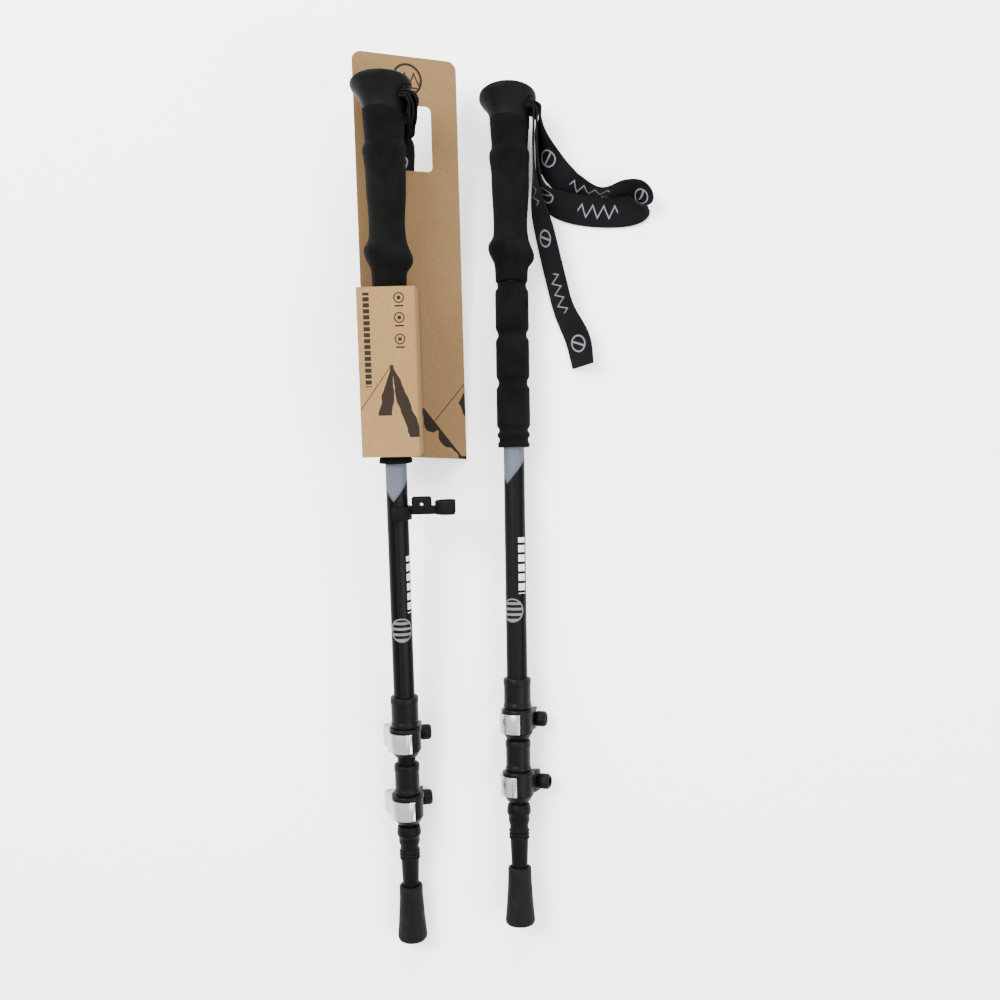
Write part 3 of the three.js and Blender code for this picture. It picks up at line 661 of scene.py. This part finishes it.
UPRIGHT = (0, 0, 1)
SLOT_TURN = [
    ((18.7, 256.6, 0), UPRIGHT), ((16.4, 259.15, 0), UPRIGHT), ((9.5, 259.15, 0), UPRIGHT),
    ((5.2, 259.15, 0), UPRIGHT), ((3.3, 261.05, 0), UPRIGHT), ((5.2, 262.95, 0), UPRIGHT),
    ((10, 262.95, 0), UPRIGHT), ((17.5, 262.95, 0), UPRIGHT),
]
LOOP_END = [((18.4, 260.6, 0), UPRIGHT), ((14.5, 261.05, 0), UPRIGHT), ((9, 261.05, 0), UPRIGHT)]
RIGHT_STRAP_ROUTE = [
    ((55, 63.5, -12.2), (0.62, 0.2, 0.76)), ((51.2, 84.4, -12.5), (0.74, 0.2, 0.64)),
    ((40.7, 107.6, -11.5), (0.58, 0.2, 0.79)), ((34.7, 131, -11.5), (0.57, 0.17, 0.8)),
    ((25.9, 170, -10.5), (0.53, 0.15, 0.83)), ((20.6, 192, -8), (0.3, 0.1, 0.95)),
    ((18.6, 215, -5), UPRIGHT), ((18.3, 240, -2), UPRIGHT),
    *SLOT_TURN,
    ((23.4, 260, -0.5), UPRIGHT), ((23.4, 252, -1.5), (0.05, 0, 1)), ((24.6, 243, -4), (0.2, 0.1, 0.97)),
    ((27.6, 232, -7.2), (0.42, 0.3, 0.85)), ((33, 220, -9.5), (0.6, 0.5, 0.62)),
    ((41, 210, -10.5), (0.5, 0.65, 0.57)), ((52, 203, -10.3), (0.2, 0.5, 0.84)), ((70, 198.5, -9.3), UPRIGHT),
    ((88, 201, -10), (-0.05, 0.3, 0.95)), ((99, 199.5, -10.8), (0.2, 0.45, 0.87)),
    ((103.5, 192, -12.6), (0.35, 0.6, 0.72)), ((97, 186, -15.9), (0.2, 0.88, 0.43)),
    ((78, 184.5, -17.6), (0, 0.96, 0.28)), ((52, 186.5, -15.5), (0.05, 0.87, 0.47)),
    ((34, 192, -12), (0.33, 0.5, 0.74)), ((24.5, 204, -9.5), (0.1, 0, 1)), ((21.2, 222, -6), UPRIGHT),
    ((20.6, 244, -2), UPRIGHT), ((21.1, 255, 0), UPRIGHT),
    *LOOP_END,
]
BEHIND_CARD = (0.879, 0, -0.477)
UNDER_HEAD = (0.32, 0, 0.95)
UNDER_GRIP = (0.7, 0, 0.714)
LEFT_STRAP_ROUTE = [
    ((7, 118, -34.5), BEHIND_CARD), ((7, 160, -34.5), BEHIND_CARD), ((7, 205, -34.6), BEHIND_CARD),
    ((7.2, 217, -34.1), BEHIND_CARD), ((7.4, 222.5, -30), (0.9, 0, -0.43)),
    ((7.2, 230, -22.5), (0.98, 0, -0.2)), ((6.4, 237.5, -18.3), (0.97, 0, 0.24)),
    ((12.2, 245.5, -14.5), UNDER_GRIP), ((17.4, 251.5, -6), UNDER_HEAD),
    *SLOT_TURN,
    ((23.4, 260, -0.5), UPRIGHT), ((21.9, 252, -7.5), UNDER_HEAD), ((15.4, 245.5, -17.5), UNDER_GRIP),
    ((7.4, 237.5, -22.9), (0.97, 0, 0.24)), ((7.8, 230, -28.5), (0.98, 0, -0.2)),
    ((7.6, 222.5, -36.1), (0.9, 0, -0.43)), ((7.2, 214, -39.2), BEHIND_CARD), ((7, 205, -39.5), BEHIND_CARD),
    ((6.6, 160, -39.8), BEHIND_CARD), ((6.2, 100, -40.1), BEHIND_CARD), ((6.2, 78, -40.1), BEHIND_CARD),
    ((7, 72.3, -38.6), BEHIND_CARD), ((7.8, 78, -37.1), BEHIND_CARD), ((7.8, 100, -37.1), BEHIND_CARD),
    ((7.6, 160, -37), BEHIND_CARD), ((7.4, 205, -37), BEHIND_CARD), ((7.4, 216, -36.6), BEHIND_CARD),
    ((7.5, 222.3, -33.1), (0.9, 0, -0.43)), ((7.5, 230, -25.5), (0.98, 0, -0.2)),
    ((6.9, 237.5, -20.6), (0.97, 0, 0.24)), ((13.8, 245.5, -16), UNDER_GRIP),
    ((19.7, 251.7, -6.8), UNDER_HEAD),
    ((21.1, 256, -1), UPRIGHT),
    *LOOP_END,
]


def strap(side, s, matrix, paint, route):
    """A woven band with rounded selvedges along its route. Its strip UVs are metres across and along it.
    Where a curve would dip under the floor it lies on the floor instead."""
    steps = 9
    places = [Vector(point) for point in spline([place for place, _ in route], steps)]
    edges = [Vector(point).normalized() for point in spline([across for _, across in route], steps)]
    half = STRAP_WIDTH / 2
    thick = STRAP_THICKNESS / 2
    section = [(-half, 0), (-half + 0.25, -thick * 0.75), (-half + 0.9, -thick), (0, -thick),
               (half - 0.9, -thick), (half - 0.25, -thick * 0.75), (half, 0),
               (half - 0.25, thick * 0.75), (half - 0.9, thick),
               (0, thick), (-half + 0.9, thick), (-half + 0.25, thick * 0.75)]
    count = len(section)
    points, faces, strip = [], [], []
    length = 0.0
    last = len(places) - 1
    for index, (centre, edge) in enumerate(zip(places, edges)):
        along = (places[min(index + 1, last)] - places[max(index - 1, 0)]).normalized()
        across = (edge - along * edge.dot(along)).normalized()
        out = along.cross(across)
        length += (centre - places[max(index - 1, 0)]).length
        for u, v in section:
            points.append(centre + across * u + out * v)
            strip.append((u * MM, length * MM))
    for index in range(last):
        for i in range(count):
            j = (i + 1) % count
            base = index * count
            faces.append([base + i, base + j, base + count + j, base + count + i])
    faces.append(list(range(count - 1, -1, -1)))
    faces.append([last * count + i for i in range(count)])
    piece = mesh_piece(f"wrist_strap_{s}", [tuple(point) for point in points], faces, matrix, paint, 60)
    back = matrix.inverted()
    for vertex in piece.data.vertices:
        point = matrix @ vertex.co
        if point.z < FLOOR_GAP:
            point.z = FLOOR_GAP
            vertex.co = back @ point
    layer = piece.data.uv_layers.new(name="strip")
    for loop in piece.data.loops:
        layer.data[loop.index].uv = strip[loop.vertex_index]
    place(piece, f"{side}_upper", "webbing", f"strap_{s}")


# ---------------------------------------------------------------- tubes and locks

def tube(name, radius, wall, bottom, top, matrix, paint):
    soft = 0.25
    profile = [(radius - wall, bottom), (radius - soft, bottom), (radius, bottom + soft),
               (radius, top - soft), (radius - soft, top), (radius - wall, top), (radius - wall, bottom)]
    return turned(name, profile, matrix, paint, 72)


def lock_sleeve(body, s, level, matrix, outer, inner, top_radius, body_radius, paint):
    """The moulded sleeve: a rolled top ring, a lower ring and the split collar that the band squeezes."""
    profile = [(inner, -224), (8.3, -224), (8.8, -223.6), (10.9, -219.9), (11.1, -219.5), (9.0, -219.2),
               (9.0, -200.6), (body_radius + 0.2, -200.5), (body_radius + 0.45, -200),
               (body_radius + 0.45, -197.4), (body_radius + 0.1, -196.6), (body_radius - 0.1, -195.9),
               (body_radius, -195), (body_radius, -184), (body_radius + 0.05, -183),
               (top_radius - 0.1, -182.3), (top_radius, -181.6), (top_radius, -178.2),
               (top_radius - 0.3, -177.4), (top_radius - 1.0, -177), (outer, -177), (outer, -200.7),
               (inner, -200.7), (inner, -224)]
    piece = turned(f"{level}_lock_sleeve_shell_{s}", profile, matrix, paint, 96)
    split = prism("split_cutter", block_outline(-0.8, 0.8, -20, -4), -225, -202, matrix, paint)
    combine(piece, split, "DIFFERENCE")
    piece.data.shade_smooth()
    piece.data.set_sharp_from_angle(angle=math.radians(35))
    place(piece, body, "lock_plastic", f"{level}_lock_sleeve_{s}")


def lock_band(body, s, level, matrix, paint):
    """The clamp band: a flanged ring with two rear ears that the bolt draws together."""
    ring = [(9.3, RING_BOTTOM), (11.3, RING_BOTTOM), (11.6, -218.7), (11.6, -204),
            (12.0, -203.9), (12.3, -203.5),
            (12.3, -201.5), (12.0, -201.0), (11.5, RING_TOP), (9.3, RING_TOP), (9.3, RING_BOTTOM)]
    piece = turned(f"{level}_lock_band_shell_{s}", ring, matrix, paint, 96)
    right_ear = [(2.2, -19.1), (9.5, -19.1), (11.5, -17.2), (11.5, -11), (10.6, -4.5), (2.2, -7)]
    left_ear = [(-7.1, -19.1), (-2.2, -19.1), (-2.2, -9.6), (-7.1, -9.6)]
    for outline in (right_ear, left_ear):
        ear = prism("ear", outline, LEVER_BOTTOM, -204, matrix, paint)
        rounded_edges(ear, 0.5, 2)
        combine(piece, ear, "UNION")
    web = prism("web", [(6, -9.5), (12.6, -13.2), (13, -12), (11.2, -5)], -203.4, -201.2, matrix, paint)
    combine(piece, web, "UNION")
    bore = turned("bore_cutter", [(0, -226), (9.3, -226), (9.3, -190), (0, -190)], matrix, paint, 96)
    combine(piece, bore, "DIFFERENCE")
    hole = cross_cylinder("hole_cutter", BOLT_HOLE, -14, 14, LOCK_MIDDLE, -BOLT_BEHIND, matrix, paint)
    combine(piece, hole, "DIFFERENCE")
    gap = prism("gap_cutter", block_outline(-2, 2, -22, -4), -220, -200, matrix, paint)
    combine(piece, gap, "DIFFERENCE")
    piece.data.shade_smooth()
    piece.data.set_sharp_from_angle(angle=math.radians(35))
    place(piece, body, "lock_plastic", f"{level}_lock_band_{s}")


def lock_lever(body, s, level, matrix, paint):
    """The cam lever: a thin wrap round the band from its pivot at the rear, with a lip at the finger end."""
    pivot = (PIVOT_ACROSS, -BOLT_BEHIND)
    outer = arc(0, 0, LEVER_OUTER, 72.5, 195, 40)
    inner = arc(0, 0, LEVER_INNER, 200, 72.5, 40)
    wrap = outer + [(-16.6, -BOLT_BEHIND), (-14, -16.5), (pivot[0], -BOLT_BEHIND + 4.4)] + inner
    piece = prism(f"{level}_lock_lever_plate_{s}", wrap, LEVER_BOTTOM, LEVER_TOP, matrix, paint)
    cam = prism("cam", arc(*pivot, CAM_RADIUS, 0, 352.5, 47), LEVER_BOTTOM, LEVER_TOP, matrix, paint)
    combine(piece, cam, "UNION")
    bore = prism("bore_cutter", arc(*pivot, PIVOT_HOLE, 0, 350, 35), -220, -202, matrix, paint)
    combine(piece, bore, "DIFFERENCE")
    sector = [pivot] + arc(*pivot, 6.4, -145, 60, 24)
    slot = prism("slot_cutter", sector, LOCK_MIDDLE - 2.8, LOCK_MIDDLE + 2.8, matrix, paint)
    combine(piece, slot, "DIFFERENCE")
    notch = prism("notch_cutter", arc(0, 0, 14.6, 72.4, 79, 6) + arc(0, 0, 13.55, 79, 72.4, 6), -217.4, -205,
                  matrix, paint)
    combine(piece, notch, "DIFFERENCE")
    groove = prism("groove_cutter", arc(0, 0, 14.6, 84, 87, 4) + arc(0, 0, 13.2, 87, 84, 4), -219, -203,
                   matrix, paint)
    combine(piece, groove, "DIFFERENCE")
    rounded_edges(piece, 0.28, 2, 35)
    place(piece, body, "silver_lever", f"{level}_lock_lever_{s}")


def lock_nut(body, s, level, matrix, paint):
    """The thumb nut: a knurled barrel along x with a sunken end."""
    teeth = 30
    start, end, outside = 11.8, 20.3, 5.9
    profile = [(BOLT_HOLE, start), (5.3, start), (5.6, start + 0.35), (outside, start + 1.0),
               (outside, end - 2.0),
               (outside - 0.3, end - 1.2), (4.8, end - 0.2), (4.3, end), (3.7, end), (3.3, end - 0.5),
               (3.3, end - 2.2), (BOLT_HOLE, end - 2.2), (BOLT_HOLE, start)]

    def knurl(x, y, z):
        radius = math.hypot(x, z)
        if radius < 5.5 or not start + 0.9 < y < end - 1.0:
            return x, y, z
        share = 1 - 0.035 * (0.5 + 0.5 * math.cos(teeth * math.atan2(z, x)))
        return x * share, y, z * share

    points, faces = revolved(profile, teeth * 6, knurl)
    lying = [(along, LOCK_MIDDLE - x, -BOLT_BEHIND + z) for x, along, z in points]
    piece = mesh_piece(f"{level}_lock_nut_barrel_{s}", lying, faces, matrix, paint, 40)
    place(piece, body, "lock_plastic", f"{level}_lock_nut_{s}")


def tip(side, s, matrix, plastic, rubber):
    """The basket collar with its thread, and the rubber foot with shallow flutes round its base."""
    profile = [(0, -341), (4.4, -341), (4.8, -340.4), (6.2, -320), (6.9, -301.4)]
    for crest in (-299.7, -297, -294.3):
        profile += [(7.05, crest - 1.25), (7.8, crest - 0.6), (7.95, crest), (7.8, crest + 0.6),
                    (7.05, crest + 1.25)]
    profile += [(7.1, -290.4), (7.3, -289.4), (7.9, -287.6), (8.05, -287), (8.05, -283.2), (8.3, -282.4),
                (9.0, -281.2), (9.3, -280.2), (9.15, -278), (8.6, -275), (8.2, -273.9), (7.8, -273.7),
                (6.3, -273.7), (6.3, -285.8), (0, -285.8)]
    piece = turned(f"tip_ferrule_collar_{s}", profile, matrix, plastic, 96)
    place(piece, f"{side}_lower", "black_plastic", f"tip_ferrule_{s}")

    flutes = 24

    def fluted(x, y, z):
        if y > -341 or y < -366 or math.hypot(x, z) < 7:
            return x, y, z
        depth = 0.028 * min((-341 - y) / 12, 1)
        share = 1 - depth * (0.5 + 0.5 * math.cos(flutes * math.atan2(z, x))) ** 3
        return x * share, y, z * share

    outside = spline([(8.6, -366.5), (9.8, -366.2), (10.8, -365.4), (11.35, -363.6), (11.25, -361),
                      (10.8, -357), (10.3, -351), (9.9, -345), (9.45, -338), (9.1, -332),
                      (8.95, -326), (8.95, -323.2)], 4)
    cup = [(0, -366.2), (7.4, -366.2), (7.9, -366.5)] + outside
    cup += [(8.6, -322.6), (8.2, -322.5), (7.0, -322.5), (6.6, -322.9), (6.3, -341), (6, -356), (0, -356)]
    piece = turned(f"rubber_foot_cap_{s}", cup, matrix, rubber, flutes * 6, fluted, 45)
    place(piece, f"{side}_foot", "rubber", f"rubber_foot_{s}")


# ---------------------------------------------------------------- clip and card

def pole_clip(matrix, paint):
    """An open ring on the left shaft, a bridge with a tab, and an open jaw for the other pole's shaft."""
    low, high, half = CLIP_LOW, CLIP_HIGH, CLIP_HALF_THICKNESS
    piece = prism("pole_clip_ring", arc(0, 0, CLIP_RING, 0, 355, 71), low, high, matrix, paint)
    jaw = prism("jaw", arc(JAW_X, 0, JAW_OUTER, 0, 354, 59), low + CLIP_RISE, high + CLIP_RISE, matrix, paint)
    bridge = prism("bridge", block_outline(8, JAW_X - JAW_INNER - 0.6, -half, half), low + CLIP_RISE, high,
                   matrix, paint)
    tab = prism("tab", block_outline(TAB_LEFT, TAB_RIGHT, -half, half), low + CLIP_RISE, TAB_TOP,
                matrix, paint)
    for part, width in ((piece, 0.6), (jaw, 0.6), (bridge, 0.5), (tab, 2.0)):
        rounded_edges(part, width)
    for extra in (jaw, bridge, tab):
        combine(piece, extra, "UNION")
    shaft_bore = prism("shaft_bore", arc(0, 0, UPPER_RADIUS + TUBE_GAP, 0, 355, 71), low - 3, high + 3,
                       matrix, paint)
    jaw_bore = prism("jaw_bore", arc(JAW_X, 0, JAW_INNER, 0, 354, 59), low - 3, high + 7, matrix, paint)
    jaw_mouth = [(JAW_X, 0), (JAW_X + 8.5, -10.1), (JAW_X + 21, 0), (JAW_X + 8.5, 10.1)]
    ring_mouth = [(0, 0), (-5, 13.7), (-23.4, 0), (-5, -13.7)]
    mouths = [prism("mouth", outline, low - 3, high + 7, matrix, paint)
              for outline in (jaw_mouth, ring_mouth)]
    for cutter in (shaft_bore, jaw_bore, *mouths):
        combine(piece, cutter, "DIFFERENCE")
    points, faces = revolved([(0, -4), (TAB_HOLE, -4), (TAB_HOLE, 4), (0, 4)], 32)
    middle = (TAB_LEFT + TAB_RIGHT) / 2
    bored = [(middle + x, high + 1 + z, -y) for x, y, z in points]
    hole = mesh_piece("tab_hole", bored, faces, matrix, paint)
    combine(piece, hole, "DIFFERENCE")
    piece.data.shade_smooth()
    piece.data.set_sharp_from_angle(angle=math.radians(38))
    place(piece, "pole_clip", "black_plastic", "pole_clip")


def display_card(matrix, paint):
    """The folded card: a back panel that leans about the pole, its window, and the sleeve round the grip."""
    lean = math.radians(CARD_LEAN)
    behind, thick, corner = CARD_BEHIND, CARD_THICKNESS, CARD_CORNER

    def rounded(x0, x1, y0, y1, radius, steps=8):
        return (arc(x1 - radius, y0 + radius, radius, -90, 0, steps)
                + arc(x1 - radius, y1 - radius, radius, 0, 90, steps)
                + arc(x0 + radius, y1 - radius, radius, 90, 180, steps)
                + arc(x0 + radius, y0 + radius, radius, 180, 270, steps))

    def panel(name, outline, front, back):
        count = len(outline)
        flat = [(u, y, v) for v in (front, back) for u, y in outline]
        points = [(u * math.cos(lean) + v * math.sin(lean), y, -u * math.sin(lean) + v * math.cos(lean))
                  for u, y, v in flat]
        faces = [list(range(count)), list(range(2 * count - 1, count - 1, -1))]
        for i in range(count):
            j = (i + 1) % count
            faces.append([j, i, count + i, count + j])
        return mesh_piece(name, points, faces, matrix, paint)

    outline = ([(CARD_LEFT, CARD_BOTTOM_LEFT), (CARD_RIGHT, CARD_BOTTOM_RIGHT)]
               + arc(CARD_RIGHT - corner, CARD_TOP - corner, corner, 0, 90, 8)
               + arc(CARD_LEFT + corner, CARD_TOP - corner, corner, 90, 180, 8))
    piece = panel("display_card_fold", outline, -behind, -behind - thick)
    window = panel("window_cutter", rounded(*WINDOW, WINDOW_CORNER), -behind + 2, -behind - thick - 2)
    combine(piece, window, "DIFFERENCE")

    def panel_height(x):
        return -behind / math.cos(lean) - x * math.tan(lean) - thick / 2

    x0, x1, front, bend = SLEEVE_LEFT, SLEEVE_RIGHT, SLEEVE_FRONT, SLEEVE_BEND
    outside = ([(x0, panel_height(x0))]
               + arc(x0 + bend, front - bend, bend, 180, 90, 5) + arc(x1 - bend, front - bend, bend, 90, 0, 5)
               + [(x1, panel_height(x1))])
    inside = ([(x1 - thick, panel_height(x1 - thick))]
              + arc(x1 - bend, front - bend, bend - thick, 0, 90, 5)
              + arc(x0 + bend, front - bend, bend - thick, 90, 180, 5)
              + [(x0 + thick, panel_height(x0 + thick))])
    sleeve = prism("sleeve", (outside + inside)[::-1], SLEEVE_BOTTOM, SLEEVE_TOP, matrix, paint)
    combine(piece, sleeve, "UNION")
    piece.data.shade_smooth()
    piece.data.set_sharp_from_angle(angle=math.radians(30))
    place(piece, "display_card", "kraft_card", "display_card")


# ---------------------------------------------------------------- the whole set

def cad_material(node, material):
    """A CAD node that keeps its shape gets a procedural material."""
    piece = bpy.data.objects[node]
    piece.data.materials.clear()
    piece.data.materials.append(material)


def build():
    foam = foam_paint()
    black = moulded_paint("moulded_black", (0.0018, 0.0018, 0.0019), 0.5, specular=0.04)
    lock = moulded_paint("lock_plastic", (0.0016, 0.0016, 0.0018), 0.42, specular=0.06)
    rubber = rubber_paint()
    silver = metal_paint("silver_lever", (0.4, 0.405, 0.4), 0.26)
    steel = metal_paint("pin_steel", (0.45, 0.45, 0.46), 0.32)
    carbide = metal_paint("carbide", (0.2, 0.2, 0.21), 0.3)
    webbing = webbing_paint()
    plain_tube = tube_paint()

    for side, s, roll, route, held, rests_on in (
        ("left", "l", 28, LEFT_STRAP_ROUTE, "hung", ["grip_head_shell_l"]),
        ("right", "r", 0, RIGHT_STRAP_ROUTE, "laid", ["floor"]),
    ):
        matrix = pole_frame(side)
        inner = matrix @ Matrix.Translation((0, -EXTRA[side] * MM, 0))
        upper, middle, lower = f"{side}_upper", f"{side}_middle", f"{side}_lower"
        grip_head(side, s, matrix, black)
        grip_foam(side, s, matrix, foam)
        lower_grip_foam(side, s, matrix, foam)
        strap_wedge(side, s, matrix, black)
        strap(side, s, matrix, webbing, route)

        printed = printed_tube_paint(f"printed_tube_{s}", roll)
        place(tube(f"upper_tube_{s}", UPPER_RADIUS, TUBE_WALL, -200, 251, matrix, printed),
              upper, "printed_tube", f"upper_shaft_{s}")
        place(tube(f"middle_tube_{s}", MIDDLE_RADIUS, TUBE_WALL, -247.9, 235, inner, plain_tube),
              middle, "black_tube", f"middle_shaft_{s}")
        place(tube(f"lower_tube_{s}", LOWER_RADIUS, TUBE_WALL, -285.5, 212, inner, plain_tube),
              lower, "black_tube", f"lower_shaft_{s}")

        for level, body, outer, bore, top_radius, body_radius in (
            ("upper", upper, 8.3, 7.3, 10.6, 10.3),
            ("lower", middle, 7.3, 6.3, 9.7, 9.35),
        ):
            around = lock_frame(side, level)
            lock_sleeve(body, s, level, around, outer, bore, top_radius, body_radius, lock)
            lock_band(body, s, level, around, lock)
            lock_lever(f"{side}_{level}_lever", s, level, around, silver)
            lock_nut(f"{side}_{level}_nut", s, level, around, lock)
            cad_material(f"{level}_lock_pivot_{s}", steel)
            cad_material(f"{level}_lock_bolt_{s}", steel)
        tip(side, s, inner, black, rubber)
        cad_material(f"strap_pin_{s}", steel)
        cad_material(f"middle_bush_{s}", black)
        cad_material(f"lower_bush_{s}", black)
        cad_material(f"carbide_tip_{s}", carbide)

    pole_clip(pole_frame("left"), black)
    display_card(pole_frame("left"), kraft_paint())


look()
build()
